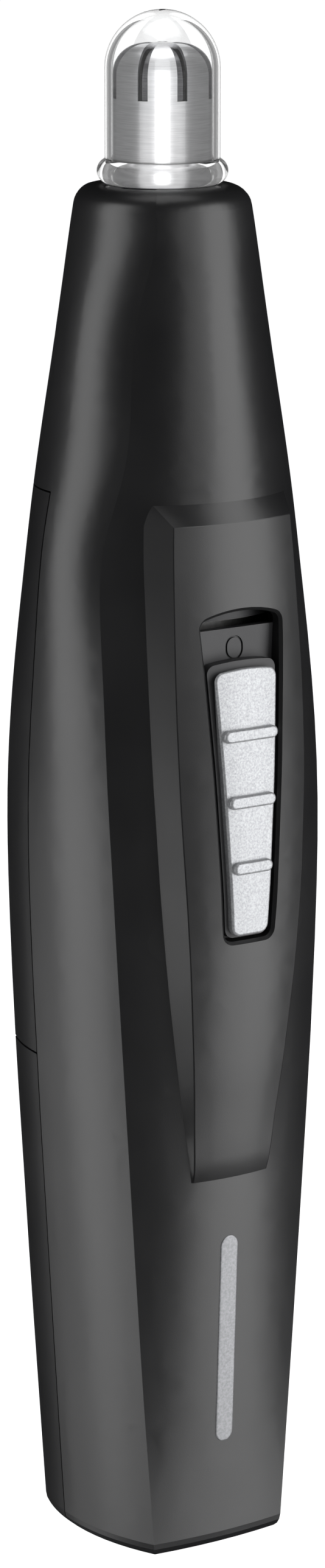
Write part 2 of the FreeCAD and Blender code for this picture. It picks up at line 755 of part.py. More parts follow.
button = solid_of(button.fuse(ribs))
print("button", button.isValid(), len(button.Solids), round(button.Volume, 1))
feature("switch_button", button)

rimc = read("carrier_rim")
car_face = tapered_face(read("carrier_base"), read("carrier_top"),
                        read("button_half_base") + rimc, read("button_half_top") + rimc + 0.04, 0.35)
drop = panel_solid(-read("carrier_drop"))[0]
# the slider: a plate under the button with a raised rim around it
foot_y = read("floor_depth")
slider = prism(car_face, -20, -11, 0.9).common(solid_of(drop))
under = Part.makeBox(12, 4, 40, V(-6, -0.12, -20))
under.Placement = pl_sw
slider = slider.cut(under)
btn_room = prism(btn_face, -20, -read("button_foot"), 0.9)
slider = slider.cut(btn_room)
stem = Part.makeBox(2.6, 1.9, 8.0, V(-1.3, -0.4, 67.6 - z_sw))
stem.Placement = pl_sw
slider = solid_of(slider.fuse(stem))
print("slider", slider.isValid(), len(slider.Solids), round(slider.Volume, 1))
feature("switch_slider", slider)

bridge = Part.makeBox(2.4, 0.3, 7.0, V(-1.2, 1.5, 68.1 - z_sw))
for k in (-1, 1):
    bridge = bridge.fuse(Part.makeCylinder(0.4, 2.4, V(-1.2, 1.92, 71.6 - z_sw + k * 2.4), V(1, 0, 0)))
feature("switch_bridge", solid_of(bridge), pl_sw)

# ---------------------------------------------------------------- cap
r_out, r_in = d("cap_od") / 2, d("cap_id") / 2
z_dome = d("cap_top") - r_out
turned("protective_cap", [
    (r_in, d("cap_base") + 0.25), (r_in + 0.25, d("cap_base")),
    (r_out - 0.145, d("cap_base")), (r_out, d("cap_bead_top"), 1.19, -1),
    (r_out, z_dome), (0, d("cap_top"), r_out, -1),
    (0, d("cap_top") - (r_out - r_in)), (r_in, z_dome, r_in, 1)])

# ---------------------------------------------------------------- cutter head
co, cw = d("cutter_od") / 2, d("cutter_wall")
cr = d("cutter_round")
body_c = doc.addObject("PartDesign::Body", "outer_cutter_body")
s = sketch(body_c, "outer_cutter_profile", "XZ_Plane")
outline(s, [(co - cw, d("cutter_base")), (co, d("cutter_base")), (co, d("cutter_top") - cr),
            (co - cr, d("cutter_top"), cr, -1), (0, d("cutter_top")),
            (0, d("cutter_top") - cw), (co - cr, d("cutter_top") - cw),
            (co - cw, d("cutter_top") - cr, cr - cw, 1)])
rev = body_c.newObject("PartDesign::Revolution", "outer_cutter_turn")
rev.Profile = s
rev.ReferenceAxis = (s, ["V_Axis"])
body_c.Tip = rev
doc.recompute()
s2 = sketch(body_c, "outer_cutter_slot", "XY_Plane", d("cutter_top") + 1)
outline(s2, [(d("slot_start"), d("slot_wide") * -0.5), (co + 1, d("slot_wide") * -0.5),
             (co + 1, d("slot_wide") * 0.5), (d("slot_start"), d("slot_wide") * 0.5)])
pk = body_c.newObject("PartDesign::Pocket", "outer_cutter_cut")
pk.Profile = s2
bind(pk, "Length", d("cutter_top") + 1 - d("slot_base"))
body_c.Tip = pk
doc.recompute()
v0 = rev.Shape.Volume
if pk.Shape.Volume > v0 - 0.1:
    pk.Reversed = True
    doc.recompute()
pp = body_c.newObject("PartDesign::PolarPattern", "outer_cutter_slots")
pp.Originals = [pk]
pp.Axis = (s2, ["N_Axis"])
pp.Angle = 360
pp.Occurrences = int(read("slot_count"))
body_c.Tip = pp
doc.recompute()
print("cutter", round(v0, 1), round(pk.Shape.Volume, 1), round(pp.Shape.Volume, 1))
node(body_c, "outer_cutter", FreeCAD.Placement(V(0, 0, 0), FreeCAD.Rotation(V(0, 0, 1), 32.2)))

turned("cutter_collar", [
    (d("collar_bore") / 2, d("collar_base")), (d("collar_od") / 2, d("collar_base")),
    (d("collar_od") / 2, d("collar_top") - 0.2), (d("collar_od") / 2 - 0.2, d("collar_top"), 0.2, -1),
    (d("collar_bore") / 2, d("collar_top"))])

hb = turned("head_base", [
    (d("headbase_bore") / 2, d("headbase_z")), (d("headbase_od") / 2, d("headbase_z")),
    (d("headbase_od") / 2, d("headbase_step")), (d("headneck_od") / 2, d("headbase_step")),
    (d("headneck_od") / 2, d("headneck_top")), (d("headneck_bore") / 2, d("headneck_top")),
    (d("headneck_bore") / 2, d("headbase_step") + 0.4), (d("headbase_bore") / 2, d("headbase_step") + 0.4)])
ls = sketch(hb, "head_base_lug", "XY_Plane", d("lug_z"))
outline(ls, [(d("headbase_od") / 2 - 0.6, d("lug_wide") * -0.5), (d("lug_reach"), d("lug_wide") * -0.5),
             (d("lug_reach"), d("lug_wide") * 0.5), (d("headbase_od") / 2 - 0.6, d("lug_wide") * 0.5)])
lp = hb.newObject("PartDesign::Pad", "head_base_lug_pad")
lp.Profile = ls
bind(lp, "Length", d("lug_high"))
hb.Tip = lp
doc.recompute()
lpp = hb.newObject("PartDesign::PolarPattern", "head_base_lugs")
lpp.Originals = [lp]
lpp.Axis = (ls, ["N_Axis"])
lpp.Angle = 360
lpp.Occurrences = 2
hb.Tip = lpp
doc.recompute()

# ---------------------------------------------------------------- drive line
sd = d("shaft_d") / 2
turned("motor_shaft", [(0, d("motor_shaft_base")), (sd, d("motor_shaft_base")),
                       (sd, d("motor_shaft_top") - 0.3), (sd - 0.3, d("motor_shaft_top")),
                       (0, d("motor_shaft_top"))])
turned("drive_shaft", [(0, d("drive_base")), (sd, d("drive_base")), (sd, d("drive_flange_z")),
                       (d("drive_flange_d") / 2, d("drive_flange_z")),
                       (d("drive_flange_d") / 2, d("drive_flange_z") + d("drive_flange_high")),
                       (sd, d("drive_flange_z") + d("drive_flange_high")),
                       (sd, d("drive_top")), (0, d("drive_top"))])
turned("drive_coupling", [
    (d("coupling_bore") / 2, d("coupling_base")), (d("coupling_od") / 2 - 0.4, d("coupling_base")),
    (d("coupling_od") / 2, d("coupling_base") + 0.4), (d("coupling_od") / 2, d("coupling_top") - 0.4),
    (d("coupling_od") / 2 - 0.4, d("coupling_top")), (d("coupling_bore") / 2, d("coupling_top"))])
turned("neck_bush", [
    (d("bush_bore") / 2, d("bush_base")), (d("bush_flange_od") / 2, d("bush_base")),
    (d("bush_flange_od") / 2, d("bush_base") + d("bush_flange_high")),
    (d("bush_od") / 2, d("bush_base") + d("bush_flange_high")),
    (d("bush_od") / 2, d("bush_top")), (d("bush_bore") / 2, d("bush_top"))])
turned("neck_gasket", [
    (d("gasket_id") / 2, d("gasket_z")), (d("gasket_od") / 2, d("gasket_z")),
    (d("gasket_od") / 2, d("gasket_z") + d("gasket_high")),
    (d("gasket_id") / 2, d("gasket_z") + d("gasket_high"))])
turned("blade_hub", [
    (d("coupling_bore") / 2, d("hub_base")), (d("hub_od") / 2 - 0.3, d("hub_base")),
    (d("hub_od") / 2, d("hub_base") + 0.3), (d("hub_od") / 2, d("hub_top") - 0.8),
    (d("hub_od") / 2 - 0.8, d("hub_top")), (0, d("hub_top")),
    (0, d("drive_top") + 0.02), (d("coupling_bore") / 2, d("drive_top") + 0.02)])

bb = doc.addObject("PartDesign::Body", "inner_blade_body")
cs = sketch(bb, "inner_blade_core", "XZ_Plane")
outline(cs, [(0, d("blade_base")), (d("blade_core_d") / 2, d("blade_base")),
             (d("blade_core_d") / 2, d("blade_top")), (0, d("blade_top"))])
crv = bb.newObject("PartDesign::Revolution", "inner_blade_turn")
crv.Profile = cs
crv.ReferenceAxis = (cs, ["V_Axis"])
bb.Tip = crv
doc.recompute()
ws = sketch(bb, "inner_blade_wing", "XZ_Plane")
outline(ws, [(0.4, d("blade_base") + 0.02), (d("blade_reach") - 0.9, d("blade_base") + 0.02),
             (d("blade_reach"), d("blade_base") + 1.0), (d("blade_reach"), d("cutter_top") - cr - 0.4),
             (d("blade_reach") - 2.3, d("blade_top"), 2.75, -1), (0.4, d("blade_top"))])
wp = bb.newObject("PartDesign::Pad", "inner_blade_wing_pad")
wp.Profile = ws
bind(wp, "Length", d("blade_thick"))
wp.Midplane = True
bb.Tip = wp
doc.recompute()
wpp = bb.newObject("PartDesign::PolarPattern", "inner_blade_wings")
wpp.Originals = [wp]
wpp.Axis = (cs, ["V_Axis"])
wpp.Angle = 360
wpp.Occurrences = int(read("blade_wings"))
bb.Tip = wpp
doc.recompute()
node(bb, "inner_blade", FreeCAD.Placement(V(0, 0, 0), FreeCAD.Rotation(V(0, 0, 1), 32.2)))


def coil(label, r0, r1, wire, z0, z1, turns):
    """Coil of wire: turns of one helix, wire centre from z0 to z1, built
    from flat facets so that its skin is exact and closed."""
    steps, sides = int(turns * 14), 6
    rings = []
    for i in range(steps + 1):
        k = i / steps
        a = 2 * math.pi * turns * k
        r = r0 + (r1 - r0) * k
        c = V(r * math.cos(a), r * math.sin(a), z0 + (z1 - z0) * k)
        out = V(math.cos(a), math.sin(a), 0)
        rings.append([c + out * (wire / 2 * math.cos(2 * math.pi * j / sides))
                      + V(0, 0, wire / 2 * math.sin(2 * math.pi * j / sides))
                      for j in range(sides)])
    faces = []

    def tri(p, q, t):
        faces.append(Part.Face(Part.makePolygon([p, q, t, p])))

    for i in range(steps):
        for j in range(sides):
            k = (j + 1) % sides
            a, b, c, e = rings[i][j], rings[i][k], rings[i + 1][k], rings[i + 1][j]
            tri(a, b, c)
            tri(a, c, e)
    for end in (rings[0], rings[-1]):
        faces.append(Part.Face(Part.makePolygon(end + [end[0]])))
    shell = Part.makeShell(faces)
    shell.sewShape()
    shape = Part.makeSolid(shell)
    if shape.Volume < 0:
        shape.reverse()
    return feature(label, shape)


w = read("spring_wire")
coil("thrust_spring", read("spring_d") / 2, read("spring_d") / 2, w,
     read("spring_base") + w / 2, read("spring_top") - w / 2, read("spring_turns"))
w = read("coil_wire")
coil("battery_spring", read("coil_base_r"), read("coil_top_r"), w,
     read("cavity_base") + read("plate_thick") + w / 2 + 0.03,
     read("battery_base") - w / 2 - 0.03, 4)

# ---------------------------------------------------------------- motor
mr, mh_ = read("motor_width") / 2, read("motor_depth") / 2
can = common("motor_can_outer", [
    rod("motor_can_round", d("motor_width") / 2, d("can_base"), d("can_top") - d("can_base")),
    box("motor_can_flat", d("motor_width") * -0.5, d("motor_width") * 0.5,
        d("motor_depth") * -0.5, d("motor_depth") * 0.5, d("can_base"), d("can_top"))])
canw = d("can_wall")
can_in = common("motor_can_inner", [
    rod("motor_can_inround", d("motor_width") / 2 - canw, d("can_base") - 1,
        d("can_top") - d("can_base") - canw + 1),
    box("motor_can_inflat", d("motor_width") * -0.5 + canw, d("motor_width") * 0.5 - canw,
        d("motor_depth") * -0.5 + canw, d("motor_depth") * 0.5 - canw, d("can_base") - 1,
        d("can_top") - canw)])
can_boss = fuse("motor_can_bossed", [can, rod("motor_can_boss", d("can_boss_d") / 2,
                                              d("can_top") - 0.1, d("can_boss_top") - d("can_top") + 0.1)])
node(cut("motor_can_cut", can_boss, [can_in, rod("motor_can_bore", sd + 0.08, d("can_top") - 2, 6)]),
     "motor_can")
ecap = common("endcap_round_flat", [
    rod("endcap_round", d("motor_width") / 2, d("endcap_base"), d("can_base") - d("endcap_base")),
    box("endcap_flat", d("motor_width") * -0.5, d("motor_width") * 0.5,
        d("motor_depth") * -0.5, d("motor_depth") * 0.5, d("endcap_base"), d("can_base"))])
node(cut("endcap_cut", ecap, [rod("endcap_bore", sd + 0.08, d("endcap_base") + 0.5, 6)]),
     "motor_end_cap")
term = []
for k, sx in enumerate((-1, 1)):
    term.append(box("motor_terminal_%d" % k, 6.0 * sx - 0.9, 6.0 * sx + 0.9, 5.2, 5.6,
                    d("endcap_base") - d("terminal_high"), d("endcap_base")))
node(fuse("motor_terminal_pair", term), "motor_terminals")
arm = fuse("armature_stack", [
    rod("armature_core", d("armature_d") / 2, d("armature_base"), d("armature_top") - d("armature_base")),
    rod("armature_commutator", d("commutator_d") / 2, d("commutator_base"),
        d("armature_base") - d("commutator_base") + 0.1)])
node(cut("armature_cut", arm, [
    rod("armature_bore", sd + 0.02, d("commutator_base") - 1, 20),
    box("armature_slot", 4.2, 7.0, -0.6, 0.6, d("armature_base"), d("armature_top")),
    box("armature_slot_back", -7.0, -4.2, -0.6, 0.6, d("armature_base"), d("armature_top"))]), "motor_armature")
mag = common("magnet_shell", [
    rod("magnet_round", d("motor_width") / 2 - canw - 0.05, d("magnet_base"), d("magnet_top") - d("magnet_base")),
    box("magnet_flat", -10, 10, d("motor_depth") * -0.5 + canw + 0.1,
        d("motor_depth") * 0.5 - canw - 0.1, d("magnet_base"), d("magnet_top"))])
node(cut("magnet_cut", mag, [rod("magnet_bore", d("magnet_id") / 2, d("magnet_base") - 1, 20),
                             box("magnet_gap", -4, 4, -9, 9, d("magnet_base") - 1, d("magnet_top") + 1)]),
     "motor_magnets")

# ---------------------------------------------------------------- chassis
fitted = skin_loft(read("wall") + read("fit_gap"), 50.0, 100.0)
th = read("bulk_thick")


def slab(z0, z1):
    return fitted.common(Part.makeBox(60, 60, z1 - z0, V(-30, -30, z0)))


sh, si, so = read("spine_half"), read("spine_in"), read("spine_out")
wh = read("web_half")
zl, zm, zh = read("bulk_low"), read("bulk_mid"), read("bulk_high")
parts = [slab(zl, zl + th), slab(zm, zm + th), slab(zh, zh + th),
         Part.makeBox(2 * sh, so - si, zh + th - zl, V(-sh, si, zl)),
         Part.makeBox(2 * wh, read("web_front") - read("web_back"), zm - zl, V(-wh, -read("web_front"), zl))]
# the slabs stand clear of the switch rebate behind the panel
chassis = parts[0].fuse(parts[1:])
cuts = [Part.makeCylinder(read("can_boss_d") / 2 + 0.15, 8, V(0, 0, zh - 2))]
for sx in (-1, 1):
    cuts.append(Part.makeCylinder(read("screw_d") / 2 + 0.04, 12,
                                  V(sx * read("screw_x"), 2, read("screw_z")), V(0, -1, 0)))
    cuts.append(Part.makeBox(2.4, 1.4, 3.2, V(sx * 6.0 - 1.2, 4.7, zm - 1)))
sw_clear = Part.makeBox(12.4, 6, 40, V(-6.2, -read("floor_depth") + read("floor_thick") + 0.35 - 6, 55))
cuts.append(sw_clear)
cuts.append(Part.makeCylinder(0.75, 6, V(-9.0, 3.4, zl - 2)))
cuts.append(Part.makeCylinder(0.75, 6, V(9.0, 3.4, zl - 2)))
chassis = solid_of(chassis.cut(cuts))
print("chassis", chassis.isValid(), len(chassis.Solids), round(chassis.Volume, 1))
feature("inner_chassis", chassis)

screws = []
for k, sx in enumerate((-1, 1)):
    sc = Part.makeCylinder(read("screw_d") / 2, read("screw_long") + 1.6,
                           V(sx * read("screw_x"), -read("web_back"), read("screw_z")), V(0, -1, 0))
    hd = Part.makeCylinder(read("screw_head_d") / 2, read("screw_head_high"),
                           V(sx * read("screw_x"), -read("web_back"), read("screw_z")), V(0, 1, 0))
    cross = [Part.makeBox(2.4, 1.0, 0.5, V(sx * read("screw_x") - 1.2, -read("web_back") + 0.9, read("screw_z") - 0.25)),
             Part.makeBox(0.5, 1.0, 2.4, V(sx * read("screw_x") - 0.25, -read("web_back") + 0.9, read("screw_z") - 1.2))]
    screws.append(solid_of(sc.fuse(hd).cut(cross)))
feature("chassis_screws", Part.makeCompound(screws))

# ---------------------------------------------------------------- battery and contacts
br = d("battery_d") / 2
turned("battery_cell", [
    (0, d("battery_base")), (br - 0.5, d("battery_base")), (br, d("battery_base") + 0.5, 0.5, -1),
    (br, d("battery_shoulder") - 0.6), (br - 0.6, d("battery_shoulder"), 0.6, -1),
    (d("battery_nub_d") / 2, d("battery_shoulder")), (d("battery_nub_d") / 2, d("battery_top")),
    (0, d("battery_top"))])
pt = d("plate_thick")
node(box("contact_base_plate", -3.6, 3.6, -4.2, 3.2, d("cavity_base"), d("cavity_base") + pt),
     "spring_contact_plate")
node(box("contact_top_plate", -4.0, 4.0, -4.5, 4.5, d("bulk_low") - pt - 0.1, d("bulk_low") - 0.1),
     "positive_contact_plate")

# long strip from the spring's plate up the side of the cell to the switch
strip = [V(3.6, 0, 1.7), V(7.7, 0, 1.7), V(9.95, 0, 40.0)]
pieces = []


def bar(a, b, wide, thick):
    """Flat strip from a to b in the XZ plane, wide along Y."""
    dv = b - a
    n = V(-dv.z, 0, dv.x) * (thick / 2 / dv.Length)
    pts = [a + n, b + n, b - n, a - n]
    pts = [V(p.x, p.y - wide / 2, p.z) for p in pts]
    f = Part.Face(Part.makePolygon(pts + [pts[0]]))
    return f.extrude(V(0, wide, 0))


path = [V(3.7, 0, 1.72), V(7.45, 0, 1.72), V(7.95, 0, 6.0), V(10.9, 0, 46.0), V(10.9, 0, 56.5)]
for a, b in zip(path, path[1:]):
    pieces.append(bar(a, b, 2.6, 0.3))
for p in path[1:-1]:
    pieces.append(Part.makeCylinder(0.15, 2.6, V(p.x, -1.3, p.z), V(0, 1, 0)))
strip = solid_of(pieces[0].fuse(pieces[1:]).removeSplitter())
print("strip", strip.isValid(), len(strip.Solids))
feature("negative_strip", strip)


def lead(label, pts, rad, wire):
    """Round lead: straight runs joined by tangent arcs."""
    edges = []
    cur = pts[0]
    for i in range(1, len(pts) - 1):
        p = pts[i]
        u = (pts[i - 1] - p)
        v = (pts[i + 1] - p)
        lu, lv = u.Length, v.Length
        u, v = u * (1 / lu), v * (1 / lv)
        ang = math.acos(max(-1, min(1, u.dot(v))))
        turn = math.pi - ang
        r = min(rad, 0.45 * min(lu, lv) / math.tan(turn / 2))
        t = r * math.tan(turn / 2)
        a, b = p + u * t, p + v * t
        bis = (u + v)
        bis = bis * (1 / bis.Length)
        c = p + bis * (r / math.sin(ang / 2))
        m = c - bis * r
        if (a - cur).Length > 1e-6:
            edges.append(Part.LineSegment(cur, a).toShape())
        edges.append(Part.Arc(a, m, b).toShape())
        cur = b
    edges.append(Part.LineSegment(cur, pts[-1]).toShape())
    wr = Part.Wire(edges)
    t0 = (pts[1] - pts[0])
    circ = Part.Wire(Part.makeCircle(wire / 2, pts[0], t0))
    sh = solid_of(wr.makePipeShell([circ], True, True))
    want = math.pi * wire * wire / 4 * wr.Length
    print(label, sh.isValid(), round(sh.Volume, 2), round(want, 2))
    return feature(label, sh)


lead("positive_lead", [V(0, 4.6, 56.72), V(0, 6.6, 56.72), V(-9.0, 6.0, 56.0), V(-9.0, 3.4, 56.4),
                       V(-9.0, 3.4, 62.0), V(-6.0, 4.9, 63.5)][3:], 1.2, 1.0)

# ---------------------------------------------------------------- write
doc.recompute()
bad = [o.Name for o in doc.Objects if "Invalid" in o.State or "Error" in o.State]
if bad:
    for nm in bad:
        print(nm, doc.getObject(nm).State, doc.getObject(nm).getStatusString())
    raise RuntimeError("failed objects: %s" % bad)
seen = set()
for o in NODES:
    sh = o.Shape
    if sh.isNull() or not sh.isValid() or sh.Volume <= 0 or o.Label in seen:
        raise RuntimeError("bad piece: " + o.Label)
    seen.add(o.Label)
os.makedirs("parts", exist_ok=True)
for old in os.listdir("parts"):
    if old.endswith(".step") and old[:-5] not in seen:
        os.remove(os.path.join("parts", old))
for o in NODES:
    o.Shape.exportStep(os.path.join("parts", o.Label + ".step"))
    b = o.Shape.BoundBox
    print("%-24s solids %d vol %8.1f  x %.2f..%.2f y %.2f..%.2f z %.2f..%.2f" % (
        o.Label, len(o.Shape.Solids), o.Shape.Volume, b.XMin, b.XMax, b.YMin, b.YMax, b.ZMin, b.ZMax))
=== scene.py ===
import json
import math
import bpy
import bmesh
from mathutils import Matrix, Vector

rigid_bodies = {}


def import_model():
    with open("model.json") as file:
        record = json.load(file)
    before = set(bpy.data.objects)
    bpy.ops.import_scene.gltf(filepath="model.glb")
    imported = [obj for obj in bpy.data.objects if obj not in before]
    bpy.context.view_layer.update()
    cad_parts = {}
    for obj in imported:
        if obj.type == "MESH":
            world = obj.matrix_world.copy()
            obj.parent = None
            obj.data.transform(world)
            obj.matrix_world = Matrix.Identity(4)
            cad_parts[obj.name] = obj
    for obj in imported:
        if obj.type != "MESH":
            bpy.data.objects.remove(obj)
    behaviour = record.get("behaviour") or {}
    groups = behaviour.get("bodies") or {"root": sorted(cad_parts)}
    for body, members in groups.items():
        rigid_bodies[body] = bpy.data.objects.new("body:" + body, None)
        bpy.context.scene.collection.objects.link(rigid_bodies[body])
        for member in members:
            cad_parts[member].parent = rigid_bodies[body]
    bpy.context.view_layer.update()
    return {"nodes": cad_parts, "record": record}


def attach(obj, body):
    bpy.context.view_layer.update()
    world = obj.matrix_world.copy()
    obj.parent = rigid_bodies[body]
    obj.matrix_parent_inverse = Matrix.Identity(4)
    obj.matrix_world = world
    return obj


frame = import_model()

scene = bpy.context.scene
MM = 0.001


# ------------------------------------------------------------------ camera
def camera():
    az, el = math.radians(-35.3), math.radians(12.55)
    target = Vector((0, 0, 0.07359))
    back = Vector((math.sin(az) * math.cos(el), -math.cos(az) * math.cos(el), math.sin(el)))
    data = bpy.data.cameras.new("camera")
    cam = bpy.data.objects.new("camera", data)
    scene.collection.objects.link(cam)
    data.sensor_fit = "AUTO"
    data.sensor_width = 36.0
    data.lens = 9000.0 / 2576.0 * 36.0
    data.dof.use_dof = False
    data.clip_start, data.clip_end = 0.02, 50.0
    cam.location = target + back * 0.52249
    cam.rotation_mode = "QUATERNION"
    cam.rotation_quaternion = (-back).to_track_quat("-Z", "Y")
    scene.camera = cam
    return back


BACK = camera()
VR = Vector((-BACK.y, BACK.x, 0)).normalized() * 1.0
if VR.dot(Vector((0.816, -0.578, 0))) < 0:
    VR = -VR
VB = Vector((BACK.x, BACK.y, 0)).normalized()


# ------------------------------------------------------------------ light
def soft(name, phi, dist, width, z0, z1, power, aim_z=0.07, spread=180.0):
    """Soft box at a bearing round the object, phi degrees to the right of
    the camera's side, standing from z0 to z1."""
    p = math.radians(phi)
    d = VB * math.cos(p) + VR * math.sin(p)
    data = bpy.data.lights.new(name, "AREA")
    data.shape = "RECTANGLE"
    data.size = width
    data.size_y = z1 - z0
    data.energy = power
    data.spread = math.radians(spread)
    ob = bpy.data.objects.new(name, data)
    scene.collection.objects.link(ob)
    ob.location = d * dist + Vector((0, 0, (z0 + z1) / 2))
    ob.rotation_mode = "QUATERNION"
    ob.rotation_quaternion = (-d).to_track_quat("-Z", "Y")
    ob.visible_camera = False
    return ob


SIDE = [soft("soft_right", 72, 0.55, 0.40, -0.30, 0.55, 4.1),
        soft("soft_left", -75, 0.55, 0.36, -0.30, 0.55, 3.2),
        soft("soft_left_low", -108, 0.55, 0.32, -0.50, -0.06, 0.42),
        soft("soft_upper", 38, 0.60, 0.27, 0.09, 0.50, 0.55)]
METAL = [soft("soft_front_metal", 0, 0.60, 0.34, -0.45, 0.35, 1.7),
         soft("soft_metal_right", 75, 0.60, 0.70, -0.30, 0.55, 0.75),
         soft("soft_metal_left", -75, 0.60, 0.70, -0.30, 0.55, 0.75),
         soft("soft_metal_back_right", 145, 0.60, 0.70, -0.30, 0.55, 0.75),
         soft("soft_metal_back_left", -145, 0.60, 0.70, -0.30, 0.55, 0.75)]
top = bpy.data.lights.new("soft_top", "AREA")
top.shape = "RECTANGLE"
top.size, top.size_y, top.energy = 0.5, 0.5, 1.4
topo = bpy.data.objects.new("soft_top", top)
scene.collection.objects.link(topo)
topo.location = (0, 0, 0.75)
topo.visible_camera = False

world = bpy.data.worlds.new("world")
scene.world = world
world.use_nodes = True
world.node_tree.nodes["Background"].inputs[0].default_value = (1, 1, 1, 1)
world.node_tree.nodes["Background"].inputs[1].default_value = 0.004


# ------------------------------------------------------------------ materials
class Mat:
    """A node material on one principled shader."""

    def __init__(self, name):
        self.m = bpy.data.materials.new(name)
        self.m.use_nodes = True
        self.t = self.m.node_tree
        self.b = self.t.nodes["Principled BSDF"]

    def node(self, kind, **kw):
        n = self.t.nodes.new(kind)
        for k, v in kw.items():
            if k.startswith("in_"):
                n.inputs[k[3:].replace("_", " ")].default_value = v
            else:
                setattr(n, k, v)
        return n

    def link(self, a, ai, b, bi):
        self.t.links.new(a.outputs[ai], b.inputs[bi])

    def set(self, **kw):
        for k, v in kw.items():
            self.b.inputs[k.replace("_", " ")].default_value = v
        return self

    def coords(self, scale=(1, 1, 1)):
        c = self.node("ShaderNodeTexCoord")
        mp = self.node("ShaderNodeMapping")
        mp.inputs["Scale"].default_value = scale
        self.link(c, "Object", mp, "Vector")
        return mp

    def noise(self, scale, detail=3.0, rough=0.5, stretch=(1, 1, 1)):
        mp = self.coords(stretch)
        n = self.node("ShaderNodeTexNoise", in_Scale=scale, in_Detail=detail, in_Roughness=rough)
        self.link(mp, "Vector", n, "Vector")
        return n

    def ramp(self, src, out, stops):
        r = self.node("ShaderNodeValToRGB")
        el = r.color_ramp.elements
        el[0].position, el[0].color = stops[0][0], stops[0][1]
        el[1].position, el[1].color = stops[-1][0], stops[-1][1]
        for p, c in stops[1:-1]:
            e = el.new(p)
            e.color = c
        self.link(src, out, r, "Fac")
        return r

    def colour(self, src, out, lo, hi, a=0.35, b=0.65):
        r = self.ramp(src, out, [(a, (*lo, 1)), (b, (*hi, 1))])
        self.link(r, "Color", self.b, "Base Color")
        return r

    def rough(self, src, out, lo, hi):
        r = self.node("ShaderNodeMapRange")
        r.inputs["To Min"].default_value = lo
        r.inputs["To Max"].default_value = hi
        self.link(src, out, r, "Value")
        self.link(r, "Result", self.b, "Roughness")

    def bump(self, src, out, strength, dist):
        b = self.node("ShaderNodeBump")
        b.inputs["Strength"].default_value = strength
        b.inputs["Distance"].default_value = dist
        self.link(src, out, b, "Height")
        self.link(b, "Normal", self.b, "Normal")
        return b


def plastic(name, lo, hi, r0, r1, grain=9000.0, bump=0.12, coat=0.0):
    m = Mat(name)
    big = m.noise(90.0, 2.0)
    m.colour(big, "Fac", lo, hi)
    fine = m.noise(grain, 2.0, 0.6)
    m.rough(fine, "Fac", r0, r1)
    m.bump(fine, "Fac", bump, 0.00003)
    m.set(IOR=1.49)
    if coat:
        m.set(Coat_Weight=coat, Coat_Roughness=0.25)
    return m.m


def steel(name, lo, hi, r0, r1, stretch, scale=2600.0, bump=0.1):
    m = Mat(name)
    lines = m.noise(scale, 2.0, 0.6, stretch)
    m.colour(lines, "Fac", lo, hi)
    m.rough(lines, "Fac", r0, r1)
    m.bump(lines, "Fac", bump, 0.00002)
    m.set(Metallic=1.0)
    return m.m


MATS = {}
MATS["black_plastic"] = plastic("black_plastic", (0.0075, 0.0075, 0.008), (0.0105, 0.0105, 0.011), 0.29, 0.38)
MATS["dark_insert_plastic"] = plastic("dark_insert_plastic", (0.020, 0.020, 0.022), (0.028, 0.028, 0.030), 0.45, 0.6)
MATS["white_acetal"] = plastic("white_acetal", (0.72, 0.71, 0.66), (0.8, 0.79, 0.74), 0.4, 0.5)
MATS["seal_rubber"] = plastic("seal_rubber", (0.015, 0.015, 0.015), (0.025, 0.025, 0.025), 0.6, 0.75)
MATS["lead_insulation"] = plastic("lead_insulation", (0.5, 0.02, 0.015), (0.6, 0.03, 0.02), 0.3, 0.4)
MATS["battery_wrap"] = plastic("battery_wrap", (0.05, 0.06, 0.08), (0.08, 0.09, 0.12), 0.2, 0.28)
MATS["magnet_ferrite"] = plastic("magnet_ferrite", (0.03, 0.03, 0.03), (0.06, 0.06, 0.06), 0.5, 0.7)
MATS["cutter_steel"] = steel("cutter_steel", (0.62, 0.62, 0.63), (0.74, 0.74, 0.75), 0.30, 0.40, (0.15, 0.15, 4.0))
# darker copy of the cutter steel: painted shade for the inner blade, which sits inside the cutter tube
MATS["shaded_blade_steel"] = steel("shaded_blade_steel", (0.10, 0.10, 0.105), (0.17, 0.17, 0.175), 0.3, 0.42, (0.2, 0.2, 3.0))
MATS["plated_steel"] = steel("plated_steel", (0.55, 0.55, 0.54), (0.66, 0.66, 0.65), 0.25, 0.36, (1, 1, 1))
MATS["contact_brass"] = steel("contact_brass", (0.75, 0.55, 0.24), (0.82, 0.62, 0.3), 0.2, 0.32, (1, 1, 1))
MATS["armature_copper"] = steel("armature_copper", (0.55, 0.26, 0.12), (0.68, 0.36, 0.2), 0.3, 0.42, (1, 1, 5))


def cell_wrap():
    """Printed sleeve: dark lower part, pale band near the plus end."""
    m = Mat("cell_wrap")
    c = m.node("ShaderNodeTexCoord")
    sep = m.node("ShaderNodeSeparateXYZ")
    m.link(c, "Object", sep, "Vector")
    n = m.noise(1500.0, 2.0)
    wob = m.node("ShaderNodeMath", operation="MULTIPLY_ADD")
    m.link(n, "Fac", wob, 0)
    wob.inputs[1].default_value = 0.0002
    m.link(sep, "Z", wob, 2)
    rng = m.node("ShaderNodeMapRange")
    rng.inputs["From Min"].default_value = 0.0
    rng.inputs["From Max"].default_value = 0.060
    m.link(wob, 0, rng, "Value")
    r = m.ramp(rng, "Result", [(0.0, (0.035, 0.045, 0.065, 1)), (0.70, (0.05, 0.06, 0.085, 1)),
                               (0.705, (0.50, 0.51, 0.52, 1)), (0.91, (0.56, 0.57, 0.58, 1))])
    m.link(r, "Color", m.b, "Base Color")
    m.rough(n, "Fac", 0.22, 0.3)
    m.bump(n, "Fac", 0.05, 0.00002)
    return m.m


def silver():
    m = Mat("silver_plastic")
    fleck = m.noise(5200.0, 3.0, 0.65)
    m.colour(fleck, "Fac", (0.23, 0.235, 0.245), (0.43, 0.437, 0.45), 0.3, 0.7)
    m.rough(fleck, "Fac", 0.30, 0.46)
    m.bump(fleck, "Fac", 0.2, 0.00004)
    m.set(Metallic=0.5, IOR=1.5)
    return m.m


